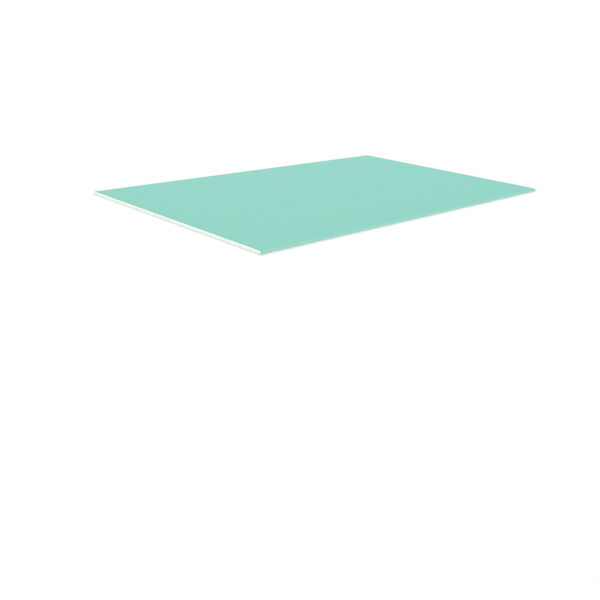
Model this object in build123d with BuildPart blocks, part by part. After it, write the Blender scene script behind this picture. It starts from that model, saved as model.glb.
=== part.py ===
from build123d import *
import os

# Drywall sheet: a moisture-resistant gypsum board with tapered long edges.
#
# The sheet lies on its back, face up. X runs along its length, Y across its
# width and Z up through its thickness. The origin is the middle of the back,
# on the surface that the sheet lies on. All sizes are in millimetres.
#
# Three layers make the sheet. The gypsum core is bare only at the two cut
# ends. The face paper covers the face, runs down the taper, is folded round
# each long edge and ends in a flap on the back. The back paper closes the
# back and laps over both flaps. Every layer has one section along the whole
# length, so each is a profile in the YZ plane, extruded both ways along X.

# Whole sheet
sheet_length = 2000
sheet_width = 1250
sheet_thickness = 12.5

# Paper liners
face_paper_thickness = 0.35
back_paper_thickness = 0.35
flap_width = 30            # face paper on the back, measured in from the long edge
back_paper_margin = 8      # strip of flap left bare between the long edge and the back paper

# Tapered long edge, on the face only
taper_width = 50
taper_depth = 1.5
taper_blend_radius = 600   # soft start of the taper, where it leaves the flat face
face_fold_radius = 2.5     # outside of the paper's fold, from the taper into the edge
back_fold_radius = 1.5     # outside of the paper's fold, from the edge under the back

half_length = sheet_length / 2
half_width = sheet_width / 2

# Section of the wrapped board: the core with the face paper round it. Its
# underside is as high as the back paper is thick, because the flaps lie on it.
wrap_bottom = back_paper_thickness
edge_top = sheet_thickness - taper_depth
taper_start = half_width - taper_width

with BuildSketch(Plane.YZ) as wrapped_section:
    with BuildLine():
        FilletPolyline(
            (-half_width, wrap_bottom),
            (half_width, wrap_bottom),
            (half_width, edge_top),
            (taper_start, sheet_thickness),
            (-taper_start, sheet_thickness),
            (-half_width, edge_top),
            radius=(
                back_fold_radius,
                back_fold_radius,
                face_fold_radius,
                taper_blend_radius,
                taper_blend_radius,
                face_fold_radius,
            ),
            close=True,
        )
    make_face()

# Gypsum core: the wrapped section less one thickness of face paper all round.
# Between the two flaps it comes down by that thickness, to meet the back paper.
with BuildPart() as gypsum_core:
    with BuildSketch(Plane.YZ) as core_section:
        add(wrapped_section.sketch_local)
        offset(amount=-face_paper_thickness, mode=Mode.REPLACE)
        with Locations((0, wrap_bottom)):
            Rectangle(
                sheet_width - 2 * flap_width,
                face_paper_thickness,
                align=(Align.CENTER, Align.MIN),
            )
    extrude(amount=half_length, both=True)

# Face paper: what the core leaves of the wrapped section, one sheet of even
# thickness from the end of one flap, over the face, to the end of the other.
with BuildPart() as face_paper:
    with BuildSketch(Plane.YZ):
        add(wrapped_section.sketch_local)
        add(core_section.sketch_local, mode=Mode.SUBTRACT)
    extrude(amount=half_length, both=True)

# Back paper: a flat sheet under the core and over both flaps.
with BuildPart() as back_paper:
    with BuildSketch(Plane.YZ):
        Rectangle(
            sheet_width - 2 * back_paper_margin,
            back_paper_thickness,
            align=(Align.CENTER, Align.MIN),
        )
    extrude(amount=half_length, both=True)

gypsum_core.part.label = "gypsum_core"
face_paper.part.label = "face_paper"
back_paper.part.label = "back_paper"

os.makedirs("parts", exist_ok=True)
export_step(gypsum_core.part, "parts/gypsum_core.step")
export_step(face_paper.part, "parts/face_paper.step")
export_step(back_paper.part, "parts/back_paper.step")
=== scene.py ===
# %% [markdown]
# # A drywall sheet, finished around its frame
#
# The sheet is a moisture-resistant gypsum board: a nearly white gypsum core, green paper on the
# face and round both long edges, and grey paper on the back. The frame holds those three pieces at
# their real size, and this lesson adds the finish. It goes from the camera and the light, through
# shader groups that several finishes share, to the finishes themselves and the two cut ends, where
# the bare gypsum shows.

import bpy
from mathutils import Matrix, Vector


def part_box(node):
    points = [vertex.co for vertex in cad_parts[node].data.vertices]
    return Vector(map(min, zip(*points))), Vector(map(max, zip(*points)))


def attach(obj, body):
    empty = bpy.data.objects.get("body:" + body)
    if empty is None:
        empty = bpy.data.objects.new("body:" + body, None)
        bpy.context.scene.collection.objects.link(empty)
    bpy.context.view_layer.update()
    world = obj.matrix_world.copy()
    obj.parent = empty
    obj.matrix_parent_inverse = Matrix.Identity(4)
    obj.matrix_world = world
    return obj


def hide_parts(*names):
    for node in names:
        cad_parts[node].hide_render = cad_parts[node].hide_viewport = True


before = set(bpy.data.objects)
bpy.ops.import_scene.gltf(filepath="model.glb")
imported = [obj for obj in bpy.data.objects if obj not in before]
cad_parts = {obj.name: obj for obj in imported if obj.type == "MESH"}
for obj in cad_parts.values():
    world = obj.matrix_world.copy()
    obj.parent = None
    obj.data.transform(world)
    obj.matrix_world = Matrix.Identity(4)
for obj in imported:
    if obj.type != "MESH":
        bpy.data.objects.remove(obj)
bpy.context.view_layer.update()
print("nodes:", ", ".join(sorted(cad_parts)))

# %% Imports, and the sizes that the frame gives
import math
import random

import bpy
import numpy as np
from mathutils import Matrix, Vector, geometry, noise

MM = 0.001
core_low, core_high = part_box("gypsum_core")
_, face_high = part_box("face_paper")
half_length, half_width, sheet_thickness = face_high
print(f"sheet {2 * half_length:.3f} x {2 * half_width:.3f} x {sheet_thickness:.4f} m")
print(f"core from {core_low.z / MM:.2f} to {core_high.z / MM:.2f} mm above the sheet's back")

# %% [markdown]
# ## Camera
#
# A photograph of a flat rectangle fixes its camera: four corners give the place, the direction and
# the lens. The sheet is seen from beyond its near corner, a little over 0.8 m above the floor. A
# Track To constraint could aim the camera, but three plain angles, heading, dip and roll, are
# easier to read, because the small roll of a hand-held picture then has a name of its own.

# %% The camera
CAMERA_PLACE = Vector((-2.789, -2.673, 0.834))
CAMERA_HEADING = math.radians(45.61)  # from +X towards +Y
CAMERA_DIP = math.radians(20.45)      # below the horizon
CAMERA_ROLL = math.radians(2.34)
LENS_MM = 45.0
SENSOR_MM = 36.0


def aim(heading, dip, roll):
    """The turn of a camera or lamp that looks along heading, dips below the horizon and rolls."""
    turn = Matrix.Rotation(heading - math.pi / 2, 4, "Z")
    tilt = Matrix.Rotation(math.pi / 2 - dip, 4, "X")
    return turn @ tilt @ Matrix.Rotation(roll, 4, "Z")


camera_data = bpy.data.cameras.new("camera")
camera_data.lens = LENS_MM
camera_data.sensor_width = SENSOR_MM
camera = bpy.data.objects.new("camera", camera_data)
camera.matrix_world = Matrix.Translation(CAMERA_PLACE) @ aim(CAMERA_HEADING, CAMERA_DIP, CAMERA_ROLL)
bpy.context.scene.collection.objects.link(camera)
bpy.context.scene.camera = camera
print("camera at", tuple(round(x, 3) for x in CAMERA_PLACE), "with a", LENS_MM, "mm lens")

# %% [markdown]
# ## Building shader nodes
#
# Sky, floor and finishes are all trees of shader nodes. Such a tree can be drawn by hand in the
# shader editor, but written as code it can be read, compared and built again, and a few helpers
# keep it short. The first one adds a node and fills in its inputs, each with a plain value or with
# another node's output, which it links. The others build on it, and come where they are first
# needed.

# %% Helpers: add a node, and calculate
def add(tree, kind, inputs, **settings):
    """Add one node to a tree. inputs maps a socket's name or number to a value or an output."""
    node = tree.nodes.new(kind)
    for name, value in settings.items():
        setattr(node, name, value)
    for key, value in inputs.items():
        if isinstance(value, bpy.types.NodeSocket):
            tree.links.new(value, node.inputs[key])
        else:
            node.inputs[key].default_value = value
    return node.outputs


def calculate(tree, operation, *values):
    """The output of one Math node."""
    return add(tree, "ShaderNodeMath", dict(enumerate(values)), operation=operation)[0]


print("two helpers are ready: one adds any node, and one a Math node")

# %% [markdown]
# ## Light and background
#
# The picture is a plain studio shot on white. Area lamps a metre or two away would light the near
# end of a sheet this long more than the far one, so the lamps here are suns, which light all of it
# alike, and their angle stands for how large and soft they are. An even sky lights the sheet from
# all round. A soft lamp behind the sheet throws a thin shadow towards the camera, which is what
# sets a flat thing on its floor, and a low, softer lamp in front keeps the near edges as bright as
# the face. Together they light a level surface at about one, so that a colour renders about as it
# is written. The sky shows as white only to the camera and in reflections. Lit by a sky that
# white, the sheet would be too bright.

# %% Rays that look, and rays that light
def looking(tree):
    """1 for rays from the camera, straight, mirrored or through glass, and 0 for those that light."""
    rays = add(tree, "ShaderNodeLightPath", {})
    seen = calculate(tree, "MAXIMUM", rays["Is Camera Ray"], rays["Is Glossy Ray"])
    return calculate(tree, "MAXIMUM", seen, rays["Is Transmission Ray"])


WHITE = (1.0, 1.0, 1.0, 1.0)
print("sky and floor tell looking rays from lighting ones")

# %% Sky
SKY_LEVEL = 0.45
world = bpy.data.worlds.new("studio_sky")
bpy.context.scene.world = world
world.use_nodes = True
sky = world.node_tree
sky.nodes.clear()
lighting = add(sky, "ShaderNodeBackground", {"Color": WHITE, "Strength": SKY_LEVEL})
backdrop = add(sky, "ShaderNodeBackground", {"Color": WHITE, "Strength": 1.0})
shown = add(sky, "ShaderNodeMixShader", {0: looking(sky), 1: lighting[0], 2: backdrop[0]})
add(sky, "ShaderNodeOutputWorld", {"Surface": shown[0]})
bpy.context.scene.view_settings.view_transform = "Standard"
print("sky lights the sheet at", SKY_LEVEL)


# %% Lamps
def add_lamp(name, level, heading, height, softness):
    """A far, soft lamp. level is what it adds on a level floor; heading is where its light goes."""
    data = bpy.data.lights.new(name, "SUN")
    data.energy = level * math.pi / math.sin(math.radians(height))
    data.angle = math.radians(softness)
    lamp = bpy.data.objects.new(name, data)
    lamp.matrix_world = aim(math.radians(heading), math.radians(height), 0)
    bpy.context.scene.collection.objects.link(lamp)
    print(f"{name} adds {level:.3f} on a level surface, from {height} degrees up")


FRONT_LEVEL = 0.235
add_lamp("front_lamp", FRONT_LEVEL, heading=45, height=18, softness=25)
add_lamp("back_lamp", 1.0 - SKY_LEVEL - FRONT_LEVEL, heading=-130, height=26, softness=12)

# %% [markdown]
# ## Floor
#
# The sheet lies on a floor as white as the background, so that only its shadow shows where the
# floor is. A shadow catcher could do that too, but its picture has to be laid over a background
# afterwards, and a plain plane is complete as it is. A white floor throws a lot of light back up
# at the edges, so it is a pale grey to the rays that light the sheet, and white to those that
# look. It is large enough for its far side to meet the sky at the horizon.

# %% Floor
FLOOR_HALF = 60.0
FLOOR_DROP = 0.02 * MM               # keeps the floor from sharing a plane with the back paper
square = ((-1, -1), (1, -1), (1, 1), (-1, 1))
floor_corners = [(x * FLOOR_HALF, y * FLOOR_HALF, -FLOOR_DROP) for x, y in square]
floor_mesh = bpy.data.meshes.new("floor")
floor_mesh.from_pydata(floor_corners, [], [(0, 1, 2, 3)])
floor = bpy.data.objects.new("floor", floor_mesh)
bpy.context.scene.collection.objects.link(floor)
print("floor is", 2 * FLOOR_HALF, "m across")


# %% Floor: its finish
def mix(tree, share, low, high):
    """A colour that goes from low to high as share goes from 0 to 1."""
    # A Mix node has sockets for each type of data. Those for colours are 6 and 7, and output 2.
    return add(tree, "ShaderNodeMix", {0: share, 6: low, 7: high}, data_type="RGBA")[2]


PALE_GREY = (0.80, 0.80, 0.80, 1.0)  # what the floor throws back up at the sheet
floor_finish = bpy.data.materials.new("pale_floor")
floor_finish.use_nodes = True
tree = floor_finish.node_tree
tree.nodes.clear()
floor_colour = mix(tree, looking(tree), PALE_GREY, WHITE)
matte = add(tree, "ShaderNodeBsdfDiffuse", {"Color": floor_colour})
add(tree, "ShaderNodeOutputMaterial", {"Surface": matte[0]})
floor_mesh.materials.append(floor_finish)
print(f"finish {floor_finish.name} has {len(tree.nodes)} nodes")

# %% [markdown]
# ## Shader groups that the finishes share
#
# Board paper is made of several plies of recycled fibre. Close up it shows three things: strands
# of fibre a few millimetres long, soft clouds where the fibre lies denser, and faint streaks along
# the way it ran through the paper machine, which is along the sheet. Gypsum has soft clouds too.
# Recycled paper has dark specks, and gypsum has pits. Handling rubs the long edges pale, and here
# that paleness is partly painted light. The blade leaves its mark near a cut end, a darker band that
# is partly painted shade. Each effect could be painted in every finish anew, but as a group it is
# built once, and each finish places it with its own sizes in metres.

# %% Helper: start a shader group
NUMBER = "NodeSocketFloat"
VECTOR = "NodeSocketVector"
COLOUR = "NodeSocketColor"


def start_group(name, inputs, outputs):
    """An empty shader group. inputs maps a name to (socket type, value), outputs to a type."""
    tree = bpy.data.node_groups.new(name, "ShaderNodeTree")
    for label, (kind, value) in inputs.items():
        socket = tree.interface.new_socket(label, in_out="INPUT", socket_type=kind)
        if value is not None:
            socket.default_value = value
    for label, kind in outputs.items():
        tree.interface.new_socket(label, in_out="OUTPUT", socket_type=kind)
    given = tree.nodes.new("NodeGroupInput").outputs
    made = tree.nodes.new("NodeGroupOutput").inputs
    return tree, given, made


print("groups take and give numbers, vectors and colours")

# %% [markdown]
# ### Fibres
#
# The strands that show on board paper are about twenty times longer than they are wide. Curves
# could stand for single ones, but a sheet holds millions, so here they are the crests of a noise
# texture that is drawn out along and squeezed across. Two layers, turned to either side, cross
# each other as in felt. A second, slower noise pushes the coordinates about first, and that bends
# the strands.

# %% Helpers: vectors, textures drawn out along the sheet, and smooth fades
def calculate_vector(tree, operation, *values):
    """The output of one Vector Math node, which works on three numbers at once."""
    return add(tree, "ShaderNodeVectorMath", dict(enumerate(values)), operation=operation)[0]


def drawn_out(tree, vector, length, width):
    """Coordinates in which a texture's unit is length metres along X and width metres across."""
    unit = add(tree, "ShaderNodeCombineXYZ", {"X": length, "Y": width, "Z": width})[0]
    return calculate_vector(tree, "DIVIDE", vector, unit)


def fade(tree, value, start, end):
    """0 where value is at start, 1 where it is at end, and smooth between them."""
    inputs = {"Value": value, "From Min": start, "From Max": end}
    return add(tree, "ShaderNodeMapRange", inputs, interpolation_type="SMOOTHSTEP")["Result"]


print("textures can be drawn out, and masks can fade")

# %% Group: fibres
fibre_group, given, made = start_group(
    "Fibres",
    {
        "Vector": (VECTOR, None),
        "Length": (NUMBER, 0.004),
        "Width": (NUMBER, 0.0002),
        "Turn": (NUMBER, 0.3),         # in radians
        "Sparseness": (NUMBER, 0.62),  # how high the noise has to rise to be a strand
    },
    {"Mask": NUMBER},
)
FIBRE_EDGE = 0.07                    # how much the noise rises from a strand's side to its crest
FIBRE_BEND = 0.8                     # in fibre lengths
slow = calculate(fibre_group, "DIVIDE", 1.0, given["Length"])
wander = add(fibre_group, "ShaderNodeTexNoise", {"Vector": given["Vector"], "Scale": slow, "Detail": 1.0})
reach = calculate(fibre_group, "MULTIPLY", given["Length"], FIBRE_BEND)
push = calculate_vector(fibre_group, "MULTIPLY", wander["Color"], reach)
bent = calculate_vector(fibre_group, "ADD", given["Vector"], push)
crest = calculate(fibre_group, "ADD", given["Sparseness"], FIBRE_EDGE)
layers = []
for side in (1.0, -1.0):
    angle = calculate(fibre_group, "MULTIPLY", given["Turn"], side)
    turned = add(
        fibre_group, "ShaderNodeVectorRotate", {"Vector": bent, "Angle": angle}, rotation_type="Z_AXIS"
    )
    thin = drawn_out(fibre_group, turned[0], given["Length"], given["Width"])
    strands = add(fibre_group, "ShaderNodeTexNoise", {"Vector": thin, "Scale": 1.0, "Detail": 1.0})
    layers.append(fade(fibre_group, strands["Fac"], given["Sparseness"], crest))
fibre_group.links.new(calculate(fibre_group, "MAXIMUM", *layers), made["Mask"])
print(f"group {fibre_group.name} crosses {len(layers)} layers, with {len(fibre_group.nodes)} nodes")

# %% [markdown]
# ### Drift of tone
#
# Even paper has soft clouds, where its fibres lie denser, and faint streaks along the machine. A
# picture of paper would show both, but it would repeat over a sheet this long, and noise doesn't.
# The clouds have many octaves, which keeps them from looking like water, and the streaks are drawn
# out along the sheet.

# %% Group: drift of tone
drift_group, given, made = start_group(
    "Drift of tone",
    {
        "Vector": (VECTOR, None),
        "Patch": (NUMBER, 0.02),
        "Streak Length": (NUMBER, 1.5),
        "Streak Width": (NUMBER, 0.008),
    },
    {"Patches": NUMBER, "Streaks": NUMBER},
)
patch_scale = calculate(drift_group, "DIVIDE", 1.0, given["Patch"])
patches = add(
    drift_group,
    "ShaderNodeTexNoise",
    {"Vector": given["Vector"], "Scale": patch_scale, "Detail": 5.0, "Roughness": 0.68},
)
drawn = drawn_out(drift_group, given["Vector"], given["Streak Length"], given["Streak Width"])
streaks = add(drift_group, "ShaderNodeTexNoise", {"Vector": drawn, "Scale": 1.0, "Detail": 3.0})
drift_group.links.new(patches["Fac"], made["Patches"])
drift_group.links.new(streaks["Fac"], made["Streaks"])
print(f"group {drift_group.name} has {len(drift_group.nodes)} nodes")

# %% [markdown]
# ### Specks
#
# Dark specks in recycled paper and fine pits in gypsum are both small spots without any order.
# The peaks of a noise texture would be blots of any shape. A Voronoi texture puts one point into
# each of its cells and gives each cell a random colour. A spot round that point is round, and the
# colour chooses which cells show one, and how large it is.

# %% Group: specks
speck_group, given, made = start_group(
    "Specks",
    {
        "Vector": (VECTOR, None),
        "Spacing": (NUMBER, 0.004),
        "Size": (NUMBER, 0.25),  # in spacings
        "Share": (NUMBER, 0.5),  # of the cells, those that show a spot
        "Softness": (NUMBER, 0.4),
    },
    {"Mask": NUMBER},
)
SMALLEST = 0.4                       # in sizes; the largest spot is a whole size more
speck_scale = calculate(speck_group, "DIVIDE", 1.0, given["Spacing"])
cells = add(speck_group, "ShaderNodeTexVoronoi", {"Vector": given["Vector"], "Scale": speck_scale})
lot = add(speck_group, "ShaderNodeSeparateColor", {"Color": cells["Color"]})
chosen = calculate(speck_group, "LESS_THAN", lot["Red"], given["Share"])
sizes = calculate(speck_group, "ADD", lot["Green"], SMALLEST)
reach = calculate(speck_group, "MULTIPLY", given["Size"], sizes)
firm = calculate(speck_group, "SUBTRACT", 1.0, given["Softness"])
dot = fade(speck_group, cells["Distance"], reach, calculate(speck_group, "MULTIPLY", reach, firm))
speck_group.links.new(calculate(speck_group, "MULTIPLY", dot, chosen), made["Mask"])
print(f"group {speck_group.name} has {len(speck_group.nodes)} nodes")

# %% [markdown]
# ### Marks that follow the edges
#
# Handling and cutting leave marks that follow the sheet's form, and the painted light and shade
# laid over them follow it too. They could be painted into an image, but the form is simple enough
# to measure: how far a point is from a line along the long edge, and how far in from a cut end.

# %% Group: along a long edge
edge_group, given, made = start_group(
    "Along a long edge",
    {
        "Vector": (VECTOR, None),
        "Line Y": (NUMBER, 0.6),
        "Line Z": (NUMBER, 0.01),
        "Reach": (NUMBER, 0.002),
    },
    {"Mask": NUMBER},
)
place = add(edge_group, "ShaderNodeSeparateXYZ", {"Vector": given["Vector"]})
across = calculate(edge_group, "SUBTRACT", calculate(edge_group, "ABSOLUTE", place["Y"]), given["Line Y"])
above = calculate(edge_group, "SUBTRACT", place["Z"], given["Line Z"])
offset = add(edge_group, "ShaderNodeCombineXYZ", {"X": across, "Y": above})
distance = add(edge_group, "ShaderNodeVectorMath", {0: offset[0]}, operation="LENGTH")["Value"]
edge_group.links.new(fade(edge_group, distance, given["Reach"], 0.0), made["Mask"])
print(f"group {edge_group.name} has {len(edge_group.nodes)} nodes")

# %% Group: near a cut end
end_group, given, made = start_group(
    "Near a cut end",
    {"Vector": (VECTOR, None), "End X": (NUMBER, 1.0), "Reach": (NUMBER, 0.005)},
    {"Mask": NUMBER},
)
place = add(end_group, "ShaderNodeSeparateXYZ", {"Vector": given["Vector"]})
out = calculate(end_group, "ABSOLUTE", place["X"])
inner = calculate(end_group, "SUBTRACT", given["End X"], given["Reach"])
end_group.links.new(fade(end_group, out, inner, given["End X"]), made["Mask"])
print(f"group {end_group.name} has {len(end_group.nodes)} nodes")

# %% [markdown]
# ### Board paper
#
# The green and the grey paper are made alike and differ in colour and in how coarse they are. Two
# long trees could make them, but the clouds, the streaks and two kinds of fibre are put together
# once instead, in a group that takes its colours as inputs. Dark fibres are a little shorter and
# thinner than pale ones, and lie straighter. Pale fibres stand up from the paper and dark ones lie
# in it.

# %% Helpers: go between two numbers, tint a colour and place a group
def between(tree, share, low, high):
    """A number that goes from low to high as share goes from 0 to 1."""
    return add(tree, "ShaderNodeMapRange", {"Value": share, "To Min": low, "To Max": high})["Result"]


def tint(tree, colour, mask, strength, tinted):
    """A colour changed towards tinted where a mask is 1, by a strength of 0 to 1."""
    return mix(tree, calculate(tree, "MULTIPLY", mask, strength), colour, tinted)


def place_group(tree, group, **inputs):
    """Place a group in a tree with its own values; _ stands for a space in a name."""
    values = {name.replace("_", " "): value for name, value in inputs.items()}
    return add(tree, "ShaderNodeGroup", values, node_tree=group)


print("numbers and colours can be blended, and groups can be placed")

# %% Group: board paper, with what it takes and gives
paper_group, given, made = start_group(
    "Board paper",
    {
        "Vector": (VECTOR, None),
        "Dense": (COLOUR, None),
        "Thin": (COLOUR, None),
        "Pale Fibre": (COLOUR, None),
        "Dark Fibre": (COLOUR, None),
        "Fibre Strength": (NUMBER, 0.3),
        "Fibre Length": (NUMBER, 0.004),
        "Fibre Width": (NUMBER, 0.0002),
        "Patch": (NUMBER, 0.01),
    },
    {"Colour": COLOUR, "Pale": NUMBER, "Relief": NUMBER},
)
print(f"group {paper_group.name} has {len(paper_group.interface.items_tree)} sockets")

# %% Board paper: its fibres
PALE_TURN = 0.8                      # in radians, to either side of the sheet's length
DARK_TURN = 0.35
DARK_LENGTH = 0.8                    # in lengths of a pale fibre
DARK_WIDTH = 0.8                     # in widths of a pale fibre
DARK_SPARSENESS = 0.65
FAR_OFF = (3.1, 3.1, 3.1)            # in metres, so that dark fibres don't follow the pale ones
pale = place_group(
    paper_group,
    fibre_group,
    Vector=given["Vector"],
    Length=given["Fibre Length"],
    Width=given["Fibre Width"],
    Turn=PALE_TURN,
)
dark = place_group(
    paper_group,
    fibre_group,
    Vector=calculate_vector(paper_group, "ADD", given["Vector"], FAR_OFF),
    Length=calculate(paper_group, "MULTIPLY", given["Fibre Length"], DARK_LENGTH),
    Width=calculate(paper_group, "MULTIPLY", given["Fibre Width"], DARK_WIDTH),
    Turn=DARK_TURN,
    Sparseness=DARK_SPARSENESS,
)
relief = calculate(paper_group, "SUBTRACT", pale["Mask"], dark["Mask"])
paper_group.links.new(pale["Mask"], made["Pale"])
paper_group.links.new(relief, made["Relief"])
print("board paper has pale and dark fibres")

# %% Board paper: its colour
STREAK_SHARE = 0.3                   # how much of the drift of tone is streaks
TONE_LOW = 0.2                       # nearly all of the drift of tone is between these two
TONE_HIGH = 0.8
drift = place_group(paper_group, drift_group, Vector=given["Vector"], Patch=given["Patch"])
tone = between(paper_group, STREAK_SHARE, drift["Patches"], drift["Streaks"])
thinness = fade(paper_group, tone, TONE_LOW, TONE_HIGH)
colour = mix(paper_group, thinness, given["Dense"], given["Thin"])
colour = tint(paper_group, colour, pale["Mask"], given["Fibre Strength"], given["Pale Fibre"])
colour = tint(paper_group, colour, dark["Mask"], given["Fibre Strength"], given["Dark Fibre"])
paper_group.links.new(colour, made["Colour"])
print(f"group {paper_group.name} has {len(paper_group.nodes)} nodes")

# %% [markdown]
# ## Finishes
#
# Each finish is one Principled BSDF with a tree that feeds its colour, its roughness and its
# normal. All three are dry and matte, so roughness is high, and the detail is in the colour and in
# relief of about a tenth of a millimetre or less, which bump shows well enough. A finish could be
# made by changing the plain material that the frame came with, but a new one has a name of its own
# and nothing left over. Its colours are written as a screen shows them, 0 to 255, and turned into
# the linear numbers that shaders work in.

# %% A matte finish to start from
DRY_SPECULAR = 0.08                  # paper and gypsum have hardly any gloss


def start_finish(name):
    """A new material: its tree, its Principled BSDF and the object's own coordinates."""
    material = bpy.data.materials.new(name)
    material.use_nodes = True
    tree = material.node_tree
    shader = tree.nodes["Principled BSDF"]
    shader.inputs["Specular IOR Level"].default_value = DRY_SPECULAR
    vector = add(tree, "ShaderNodeTexCoord", {})["Object"]
    return material, tree, shader, vector


def connect(tree, shader, colour, roughness, height, depth):
    """Feed a finish its colour, its roughness, and bumps as high as height times depth, in metres."""
    bump = add(tree, "ShaderNodeBump", {"Height": height, "Distance": depth})
    tree.links.new(colour, shader.inputs["Base Color"])
    tree.links.new(roughness, shader.inputs["Roughness"])
    tree.links.new(bump["Normal"], shader.inputs["Normal"])


print("each finish starts with a specular level of", DRY_SPECULAR)


# %% Helper: a colour as seen on screen
def linear(red, green, blue):
    """A screen colour, 0 to 255, as the linear RGBA of shader sockets, by the sRGB curve."""
    def level(value):
        share = value / 255
        return share / 12.92 if share <= 0.04045 else ((share + 0.055) / 1.055) ** 2.4
    return (level(red), level(green), level(blue), 1.0)


print(f"a screen grey of 188 is {linear(188, 188, 188)[0]:.2f} in linear light")

# %% [markdown]
# ### Green face paper
#
# The outer plies of the face paper are dyed green, and makers keep their tone very even. Where the
# paper is folded round the long edges, other sheets and the packing rub it pale, and that paleness
# also stands in for painted light on the edge faces and a painted highlight along the fold. Near a
# cut end the blade presses it flat, and the narrow darker band there is partly that and partly
# painted shade, where the paper bends down to the cut. At the cut itself its plies show, green and
# grey, too thin to tell apart, so there it is a greyish green. A painted image could hold these
# marks, but all of them follow the form, so they are laid over the paper by the groups that measure
# it.

# %% Green face paper: its colours
GREEN_DENSE = linear(136, 205, 189)
GREEN_THIN = linear(148, 214, 199)
GREEN_PALE_FIBRE = linear(166, 224, 211)
GREEN_DARK_FIBRE = linear(112, 192, 174)
# a paler green round the long edge faces: partly scuffing, partly painted light
GREEN_SCUFFED_AND_LIT = linear(155, 213, 199)
# a paler line along the fold: partly rubbing, partly a painted highlight
GREEN_RUBBED_AND_HIGHLIT = linear(160, 217, 204)
# a darker green near a cut end: partly the blade's flattening, partly painted shade
GREEN_PRESSED_AND_SHADED = linear(116, 188, 172)
GREEN_CUT = linear(124, 170, 158)
print("the green of thin paper is", tuple(round(x, 3) for x in GREEN_THIN[:3]), "in linear light")

# %% Green face paper: its marks
EDGE_MIDDLE = 5 * MM                 # the middle of the long edge, above the back
# how far scuffing and painted light reach round the long edge
SCUFF_AND_LIGHT_REACH = 10 * MM
FOLD_IN = 0.7 * MM                   # the middle of the folded paper, in from the edge
FOLD_Z = sheet_thickness - 2.2 * MM  # where the taper folds into the long edge
# the band of rubbing and painted highlight round the fold
RUB_AND_HIGHLIGHT_REACH = 2.5 * MM
RUB_AND_HIGHLIGHT_STRENGTH = 0.6
# the band of flattened paper and painted shade in from a cut end, on face and back
PRESSED_SHADE_REACH = 12 * MM
PRESSED_SHADE_STRENGTH = 0.75
CUT_SKIN = 0.02 * MM                 # what counts as the cut itself, in from the end
GREEN_ROUGHNESS = (0.92, 0.85)       # beside the pale fibres, and on them
GREEN_RELIEF = 0.02 * MM
print(f"rubbed_and_highlit {RUB_AND_HIGHLIGHT_REACH / MM:.1f} mm round the fold, pressed {PRESSED_SHADE_REACH / MM:.0f} mm at a cut end")

# %% Green face paper
green_paper, tree, shader, vector = start_finish("green_face_paper")
paper = place_group(
    tree,
    paper_group,
    Vector=vector,
    Dense=GREEN_DENSE,
    Thin=GREEN_THIN,
    Pale_Fibre=GREEN_PALE_FIBRE,
    Dark_Fibre=GREEN_DARK_FIBRE,
    Fibre_Strength=0.33,
    Fibre_Length=4 * MM,
    Fibre_Width=0.22 * MM,
    Patch=11 * MM,
)
scuffed_and_lit = place_group(
    tree, edge_group, Vector=vector, Line_Y=half_width, Line_Z=EDGE_MIDDLE, Reach=SCUFF_AND_LIGHT_REACH
)
fold = place_group(
    tree, edge_group, Vector=vector, Line_Y=half_width - FOLD_IN, Line_Z=FOLD_Z, Reach=RUB_AND_HIGHLIGHT_REACH
)
pressed_and_shaded = place_group(tree, end_group, Vector=vector, End_X=half_length, Reach=PRESSED_SHADE_REACH)
cut = place_group(tree, end_group, Vector=vector, End_X=half_length, Reach=CUT_SKIN)
# Paler round the long edge faces: scuffing with painted light.
colour = mix(tree, scuffed_and_lit["Mask"], paper["Colour"], GREEN_SCUFFED_AND_LIT)
# Paler along the fold: rubbing with a painted highlight.
colour = tint(tree, colour, fold["Mask"], RUB_AND_HIGHLIGHT_STRENGTH, GREEN_RUBBED_AND_HIGHLIT)
# Darker near a cut end: flattened paper with painted shade.
colour = tint(tree, colour, pressed_and_shaded["Mask"], PRESSED_SHADE_STRENGTH, GREEN_PRESSED_AND_SHADED)
colour = mix(tree, cut["Mask"], colour, GREEN_CUT)
roughness = between(tree, paper["Pale"], *GREEN_ROUGHNESS)
connect(tree, shader, colour, roughness, paper["Relief"], GREEN_RELIEF)
print(f"finish {green_paper.name} has {len(tree.nodes)} nodes")

# %% [markdown]
# ### Gypsum
#
# The core shows only at the cut ends. It is nearly white with a breath of green, which is painted
# light: the green that paper nearby throws onto a cut end. It is a little greyer in soft clouds, and
# dull, because it is all fine crystals. The larger pores are real surface, made further on. Three
# things could be modelled only with far more points, so they are left to the shader: the rough grit
# of the crystals, whose hollows get painted shade, the smallest pits, bumps painted darker as shade,
# and painted shade deep inside a pore, which grows with the distance in from the cut.

# %% Gypsum: its colours
# All gypsum colours have a breath of green, painted: green light that paper nearby throws onto a cut end.
GYPSUM_WITH_GREEN_BOUNCE = linear(239, 250, 239)
GYPSUM_DULL = linear(229, 241, 231)
# painted shade in the hollows between grains and in the pits
GYPSUM_PIT_SHADE = linear(202, 212, 202)
# painted shade deep inside the pores
GYPSUM_DEEP_SHADE = linear(176, 188, 178)
CLOUD_LOW = 0.35                     # noise up to here is dull gypsum,
CLOUD_HIGH = 0.65                    # and from here on it is bright
# Painted shade deep in a pore: none down to the first depth, and over the second it darkens fully.
SHALLOW = 0.2 * MM                   # down to here gypsum keeps its colour,
GREYING = 0.8 * MM                   # and over this much more it goes grey
print(f"gypsum goes grey from {SHALLOW / MM:.1f} to {(SHALLOW + GREYING) / MM:.1f} mm deep")

# %% Gypsum: its grit and pits
GRAIN = 0.5 * MM                     # the size of the grit
GRAIN_HEIGHT = 1.4                   # in depths of a pit
HOLLOW_TOP = 0.5                     # noise below this is a hollow between grains,
HOLLOW_FLOOR = 0.35                  # and from here down it is the hollow's floor
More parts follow.
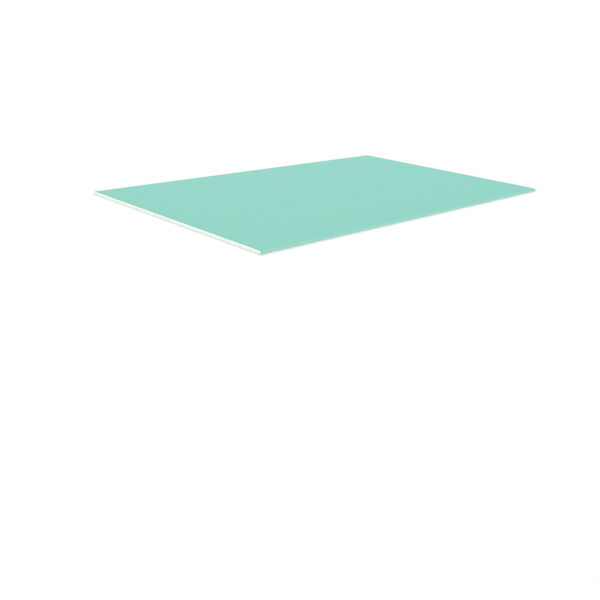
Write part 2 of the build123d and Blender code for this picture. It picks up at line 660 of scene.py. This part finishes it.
# how strongly painted shade darkens the hollows between grains, and then the pits
HOLLOW_SHADE_STRENGTH = 0.35
PIT_SHADE_STRENGTH = 0.7
PIT_DEPTH = 0.1 * MM
GYPSUM_ROUGHNESS = (0.85, 0.95)      # in the hollows, and on the grains
print(f"grit is about {GRAIN / MM:.1f} mm across, and a pit is {PIT_DEPTH / MM:.1f} mm deep")

# %% Gypsum
gypsum, tree, shader, vector = start_finish("cut_gypsum")
drift = place_group(tree, drift_group, Vector=vector, Patch=12 * MM)
clouds = fade(tree, drift["Patches"], CLOUD_LOW, CLOUD_HIGH)
grit = add(tree, "ShaderNodeTexNoise", {"Vector": vector, "Scale": 1 / GRAIN, "Detail": 4.0})["Fac"]
hollows = fade(tree, grit, HOLLOW_TOP, HOLLOW_FLOOR)
pits = place_group(tree, speck_group, Vector=vector, Spacing=0.5 * MM, Size=0.35, Share=0.6, Softness=1.0)
surface = place_group(tree, end_group, Vector=vector, End_X=half_length - SHALLOW, Reach=GREYING)
colour = mix(tree, clouds, GYPSUM_DULL, GYPSUM_WITH_GREEN_BOUNCE)
# Painted shade: the hollows between grains and the pits are made darker.
colour = tint(tree, colour, hollows, HOLLOW_SHADE_STRENGTH, GYPSUM_PIT_SHADE)
colour = tint(tree, colour, pits["Mask"], PIT_SHADE_STRENGTH, GYPSUM_PIT_SHADE)
# Painted shade deep in the pores, away from the cut plane.
colour = mix(tree, surface["Mask"], GYPSUM_DEEP_SHADE, colour)
roughness = between(tree, grit, *GYPSUM_ROUGHNESS)
height = calculate(tree, "SUBTRACT", calculate(tree, "MULTIPLY", grit, GRAIN_HEIGHT), pits["Mask"])
connect(tree, shader, colour, roughness, height, PIT_DEPTH)
print(f"finish {gypsum.name} has {len(tree.nodes)} nodes")

# %% [markdown]
# ### Grey back paper
#
# The back paper is plain recycled stock, undyed and coarser than the face paper, with longer
# fibres and a few dark specks of old print. The green finish with other colours could stand for
# it, but the group that both papers share takes coarser values as easily as other colours.

# %% Grey back paper: its colours and marks
GREY_DENSE = linear(176, 172, 162)
GREY_THIN = linear(194, 190, 181)
GREY_PALE_FIBRE = linear(214, 211, 203)
GREY_DARK_FIBRE = linear(134, 126, 113)
GREY_SPECK = linear(84, 88, 98)
# a darker grey near a cut end: partly the blade's flattening, partly painted shade
GREY_PRESSED_AND_SHADED = linear(150, 144, 132)
SPECK_STRENGTH = 0.7
# the darker band, partly painted shade, is weaker on the back than on the face
GREY_PRESSED_SHADE_STRENGTH = 0.5          # the blade presses the back less than the face
GREY_ROUGHNESS = (0.88, 0.80)        # beside the pale fibres, and on them
GREY_RELIEF = 0.03 * MM
print(f"the grey paper has {GREY_RELIEF / GREEN_RELIEF:.1f} times the relief of the green one")

# %% Grey back paper
grey_paper, tree, shader, vector = start_finish("grey_back_paper")
paper = place_group(
    tree,
    paper_group,
    Vector=vector,
    Dense=GREY_DENSE,
    Thin=GREY_THIN,
    Pale_Fibre=GREY_PALE_FIBRE,
    Dark_Fibre=GREY_DARK_FIBRE,
    Fibre_Strength=0.5,
    Fibre_Length=5 * MM,
    Fibre_Width=0.25 * MM,
    Patch=9 * MM,
)
specks = place_group(tree, speck_group, Vector=vector, Spacing=9 * MM, Size=0.05, Share=0.5)
pressed_and_shaded = place_group(tree, end_group, Vector=vector, End_X=half_length, Reach=PRESSED_SHADE_REACH)
colour = tint(tree, paper["Colour"], specks["Mask"], SPECK_STRENGTH, GREY_SPECK)
# Darker near a cut end: flattened paper with painted shade.
colour = tint(tree, colour, pressed_and_shaded["Mask"], GREY_PRESSED_SHADE_STRENGTH, GREY_PRESSED_AND_SHADED)
roughness = between(tree, paper["Pale"], *GREY_ROUGHNESS)
connect(tree, shader, colour, roughness, paper["Relief"], GREY_RELIEF)
print(f"finish {grey_paper.name} has {len(tree.nodes)} nodes")

# %% [markdown]
# ### The papers keep their form
#
# Both papers are sheets of even thickness, and the frame holds them as they are, with the taper,
# the folds and the flaps. They could be modelled again here, but only less exactly, so they keep
# their solids and change nothing but their material.

# %% Give the papers their finishes
for node, finish in (("face_paper", green_paper), ("back_paper", grey_paper)):
    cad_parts[node].material_slots[0].material = finish
    print(node, "is finished as", finish.name)

# %% [markdown]
# ## The two cut ends
#
# Blades cut each sheet off a long ribbon. That opens the foamed gypsum, so an end is full of small
# round pores, with a skin of denser gypsum just inside the paper, low ridges where the blade
# dragged, and a few chips along the paper. The frame's core is plain there. A bump map would fake
# all this with light alone, and cutting thousands of balls out of a solid with booleans would be
# slow. Here the end is a flat set of points instead, closer together round each pore. A Delaunay
# triangulation joins them up, and each point is then pushed in by how deep the surface is there.

# %% [markdown]
# ### The outline of the core
#
# The rim of a new end has to lie where the frame's core meets the paper, or a gap would open. The
# section could be written down again in numbers, but its corners are already there in the frame's
# own mesh. All of them can be seen from the middle of the section, so they come into order when
# they are sorted by their direction from there.

# %% The core's outline, from the frame
RIM_STEP = 1.2 * MM
ROUNDING = 6                         # decimals of a metre, so that doubled corners fall together
END_DEPTH = 0.001 * MM               # a corner no further in than this belongs to the end
section_middle = (core_low.z + core_high.z) / 2


def end_outline(node):
    """The (y, z) corners of a node's section at its +X end, anticlockwise as seen from there."""
    end = [vertex.co for vertex in node.data.vertices if vertex.co.x > half_length - END_DEPTH]
    corners = {(round(place.y, ROUNDING), round(place.z, ROUNDING)) for place in end}
    return sorted(corners, key=lambda corner: math.atan2(corner[1] - section_middle, corner[0]))


def with_steps(corners, step):
    """The same outline with points added so that none is further than step from the next."""
    points = []
    for start, end in zip(corners, corners[1:] + corners[:1]):
        count = max(1, math.ceil(math.dist(start, end) / step))
        points += [tuple(Vector(start).lerp(Vector(end), i / count)) for i in range(count)]
    return points


corners = end_outline(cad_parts["gypsum_core"])
rim = with_steps(corners, RIM_STEP)
print(f"the core's section has {len(corners)} corners and {len(rim)} rim points")

# %% [markdown]
# ### Pores and chips
#
# Foam has many small pores and few large ones, so the radius grows with a random number cubed.
# Geometry Nodes can scatter points over a face, but here each pore has to stay inside the outline,
# with some skin to spare, and apart from its neighbours. That is plainer to say in Python: each is
# drawn at random and kept only if it fits. For that the script has to know how much room a point
# has. Chips may start anywhere on the rim.

# %% How far a point is from the outline
from_corner = np.array(corners)
to_corner = np.roll(from_corner, -1, axis=0)


def room(points):
    """How far each point is inside the outline, in metres; below zero is outside."""
    points = np.asarray(points)[:, None, :]
    run = to_corner - from_corner
    share = ((points - from_corner) * run).sum(2) / (run**2).sum(1)
    nearest = from_corner + np.clip(share, 0, 1)[:, :, None] * run
    gap = np.sqrt(((points - nearest) ** 2).sum(2)).min(1)
    y, z = points[:, :, 0], points[:, :, 1]
    # A point is inside if a ray from it towards +Y crosses the outline an odd number of times.
    # The ray never crosses a level side, so there any rise but zero will do.
    crosses = (from_corner[:, 1] > z) != (to_corner[:, 1] > z)
    rise = np.where(run[:, 1] == 0, 1, run[:, 1])
    ahead = y < from_corner[:, 0] + (z - from_corner[:, 1]) / rise * run[:, 0]
    inside = (crosses & ahead).sum(1) % 2 == 1
    return np.where(inside, gap, -gap)


print(f"the middle of the end has {room([(0, section_middle)])[0] / MM:.2f} mm of room")

# %% Where the pores are
PORES = 3300
PORE_SMALL = 0.16 * MM               # the radius of the smallest
PORE_SPREAD = 0.55 * MM              # how much more the largest may have
PORE_SKIN = 0.35 * MM                # dense gypsum just inside the paper has no open pores
PORE_APART = 1.25                    # in sums of two radii


def scatter_pores(rng):
    """(y, z, radius) of round pores that stay inside the outline and apart from each other."""
    pores = []
    by_cell = {}
    cell = 2 * PORE_APART * (PORE_SMALL + PORE_SPREAD)
    while len(pores) < PORES:
        radius = PORE_SMALL + PORE_SPREAD * rng.random() ** 3
        y = rng.uniform(core_low.y, core_high.y)
        z = rng.uniform(core_low.z, core_high.z)
        row, column = int(y // cell), int(z // cell)
        cells = [(row + i, column + j) for i in (-1, 0, 1) for j in (-1, 0, 1)]
        nearby = [pore for key in cells for pore in by_cell.get(key, ())]
        if any(math.dist((y, z), pore[:2]) < PORE_APART * (radius + pore[2]) for pore in nearby):
            continue
        if room([(y, z)])[0] < radius + PORE_SKIN:
            continue
        pores.append((y, z, radius))
        by_cell.setdefault((row, column), []).append(pores[-1])
    return np.array(pores)


print(f"each end gets {PORES} pores, up to {2 * (PORE_SMALL + PORE_SPREAD) / MM:.1f} mm across")

# %% Where the chips are
CHIPS = 46
CHIP_REACH = (1.0 * MM, 3.2 * MM)    # the least and the most
CHIP_DEPTH = (0.15 * MM, 0.5 * MM)


def scatter_chips(rng):
    """(y, z, reach, depth) of shallow chips that start at a point of the rim."""
    chips = []
    for _ in range(CHIPS):
        y, z = rng.choice(rim)
        chips.append((y, z, rng.uniform(*CHIP_REACH), rng.uniform(*CHIP_DEPTH)))
    return chips


print(f"each end gets {CHIPS} chips, up to {CHIP_DEPTH[1] / MM:.1f} mm deep")

# %% [markdown]
# ### Relief between the pores
#
# The blade goes down through the sheet, so its ridges run from paper to paper. Displace modifiers
# could raise them, but each point's depth is worked out here anyway, for the pores, so the rest is
# simply added to it. Ridges are noise that is narrow across the width and long through the
# thickness. Finer, rounder noise is a coarse grit. A chip is a shallow bowl, and only the part of
# it that lies inside the rim shows.

# %% How deep the surface lies between the pores
RIDGE_DEPTH = 0.05 * MM
RIDGE_WIDTH = 2.5 * MM
RIDGE_LENGTH = 30 * MM
GRIT_DEPTH = 0.05 * MM
GRIT_SIZE = 0.9 * MM


def surface_depth(points, chips, layer):
    """How far each (y, z) point lies inside the end plane. layer picks a slice of the noise."""
    depth = np.zeros(len(points))
    for i, (y, z) in enumerate(points):
        ridge = noise.noise((y / RIDGE_WIDTH, z / RIDGE_LENGTH, layer))
        grit = noise.noise((y / GRIT_SIZE, z / GRIT_SIZE, layer + 0.5))
        depth[i] = RIDGE_DEPTH * (1 + ridge) + GRIT_DEPTH * (1 + grit)
    for y, z, reach, deep in chips:
        away = np.hypot(points[:, 0] - y, points[:, 1] - z) / reach
        depth += deep * np.clip(1 - away**2, 0, 1)
    return depth


print(f"ridges and grit lie up to {2 * (RIDGE_DEPTH + GRIT_DEPTH) / MM:.1f} mm deep")

# %% [markdown]
# ### Points and triangles
#
# An even grid that is fine enough for the smallest pore would take millions of triangles, so
# detail goes only where the form needs it. A large pore gets rings of points from its mouth to its
# floor, a small one only a mouth and a middle, and the calm gypsum between them a loose grid. The
# mouths are kept as edges of the triangulation. Otherwise a triangle could join a point deep in a
# pore to one outside, and make a spike.

# %% Rings of points for a small, a middling and a large pore
PORE_RINGS = (  # up to this radius, rings at these shares of the radius, with this many points
    (0.30 * MM, ((1.0, 6), (0.0, 1))),
    (0.50 * MM, ((1.0, 8), (0.8, 7), (0.0, 1))),
    (math.inf, ((1.0, 12), (0.85, 11), (0.5, 6), (0.0, 1))),
)
counts = [sum(count for _, count in rings) for _, rings in PORE_RINGS]
print("points in a small, a middling and a large pore:", counts)

# %% Points inside the pores
PORE_DEPTH = 1.3                     # in radii, at the middle
PORE_OVAL = 0.12                     # how much longer than round a pore may be


def pore_points(rng, pores, first):
    """Rings of points down into each pore, how deep each is sunk, and the edges of the mouths.

    first is the number that the first point gets.
    """
    points = []
    sunk = []
    mouths = []
    for y, z, radius in pores:
        turn = rng.random() * math.tau
        lie = rng.random() * math.tau
        oval = rng.uniform(0, PORE_OVAL)
        rings = next(rings for limit, rings in PORE_RINGS if radius < limit)
        start = first + len(points)
        mouth = rings[0][1]
        mouths += [(start + i, start + (i + 1) % mouth) for i in range(mouth)]
        for share, count in rings:
            for i in range(count):
                angle = turn + math.tau * i / count
                reach = share * radius * (1 + oval * math.cos(2 * (angle - lie)))
                points.append((y + reach * math.cos(angle), z + reach * math.sin(angle)))
                sunk.append(PORE_DEPTH * radius * math.sqrt(1 - share**2))
    return points, sunk, mouths


print(f"the largest pore is {PORE_DEPTH * (PORE_SMALL + PORE_SPREAD) / MM:.1f} mm deep")

# %% Points between the pores
BASE_STEP = 1.5 * MM
BASE_JITTER = 0.4                    # in steps
BASE_CLEAR = 1.5                     # no base point this close to a pore, in radii


def base_points(rng, pores):
    """A jittered grid of points that keeps off the rim and off the pores."""
    points = []
    for y in np.arange(core_low.y, core_high.y, BASE_STEP):
        for z in np.arange(core_low.z, core_high.z, BASE_STEP):
            push_y = rng.uniform(-BASE_JITTER, BASE_JITTER)
            push_z = rng.uniform(-BASE_JITTER, BASE_JITTER)
            points.append((y + push_y * BASE_STEP, z + push_z * BASE_STEP))
    points = np.array(points)
    points = points[room(points) > BASE_STEP / 2]
    away = [(np.hypot(pores[:, 0] - y, pores[:, 1] - z) / pores[:, 2]).min() for y, z in points]
    return [tuple(point) for point in points[np.array(away) > BASE_CLEAR]]


print(f"between the pores, points lie about {BASE_STEP / MM:.1f} mm apart")

# %% One end: its points, their depths and the triangles over them
INSIDE_BORDER = 1                    # keeps only the triangles inside the border
MERGE = 0.001 * MM                   # points closer than this would be joined


def end_surface(seed):
    """The (y, z) points of one end, rim first, how deep each one lies, and the triangles."""
    rng = random.Random(seed)
    pores = scatter_pores(rng)
    chips = scatter_chips(rng)
    in_pores, sunk, mouths = pore_points(rng, pores, len(rim))
    points = rim + in_pores + base_points(rng, pores)
    depth = surface_depth(np.array(points), chips, seed)
    depth[len(rim):len(rim) + len(sunk)] += sunk
    border = [list(range(len(rim)))]
    flat = [Vector(point) for point in points]
    found = geometry.delaunay_2d_cdt(flat, mouths, border, INSIDE_BORDER, MERGE)
    _, _, triangles, origin, _, _ = found
    return points, depth, [[origin[corner][0] for corner in triangle] for triangle in triangles]


print("an end is a Delaunay triangulation of its rim, its pores and the points between them")

# %% [markdown]
# ### One closed core
#
# Two skins laid over the frame's plain core would be less to build, but the core would fill their
# pores. So the ends and the sides are one new core. Both ends have the same rim, and a band of
# long quads between the two rims closes it. The piece takes the place of the plain core and fills
# the same space. The two ends get different seeds, because no two cuts are alike.

# %% Both ends, and the sides between them
vertices = []
faces = []
rim_start = {}
for side, seed in ((1, 12), (-1, 47)):
    points, depth, triangles = end_surface(seed)
    first = rim_start[side] = len(vertices)
    vertices += [(side * (half_length - deep), y, z) for (y, z), deep in zip(points, depth)]
    # A step of -1 turns a triangle over, so that the end at -X faces outwards too.
    faces += [[first + corner for corner in triangle[::side]] for triangle in triangles]
    print(f"end at {side * half_length:+.1f} m: {len(points)} points, {len(triangles)} triangles")
for i in range(len(rim)):
    j = (i + 1) % len(rim)
    faces.append([rim_start[1] + j, rim_start[1] + i, rim_start[-1] + i, rim_start[-1] + j])

# %% The new core, in place of the plain one
SHARP = math.radians(35)             # folds past this stay sharp, and the rest is smooth
core_mesh = bpy.data.meshes.new("core_with_cut_ends")
core_mesh.from_pydata(vertices, [], faces)
core_mesh.shade_smooth()
core_mesh.set_sharp_from_angle(angle=SHARP)
core_piece = bpy.data.objects.new("core_with_cut_ends", core_mesh)
bpy.context.scene.collection.objects.link(core_piece)
core_mesh.materials.append(gypsum)
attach(core_piece, "root")
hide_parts("gypsum_core")
print(f"{core_piece.name} has {len(core_mesh.polygons)} faces")
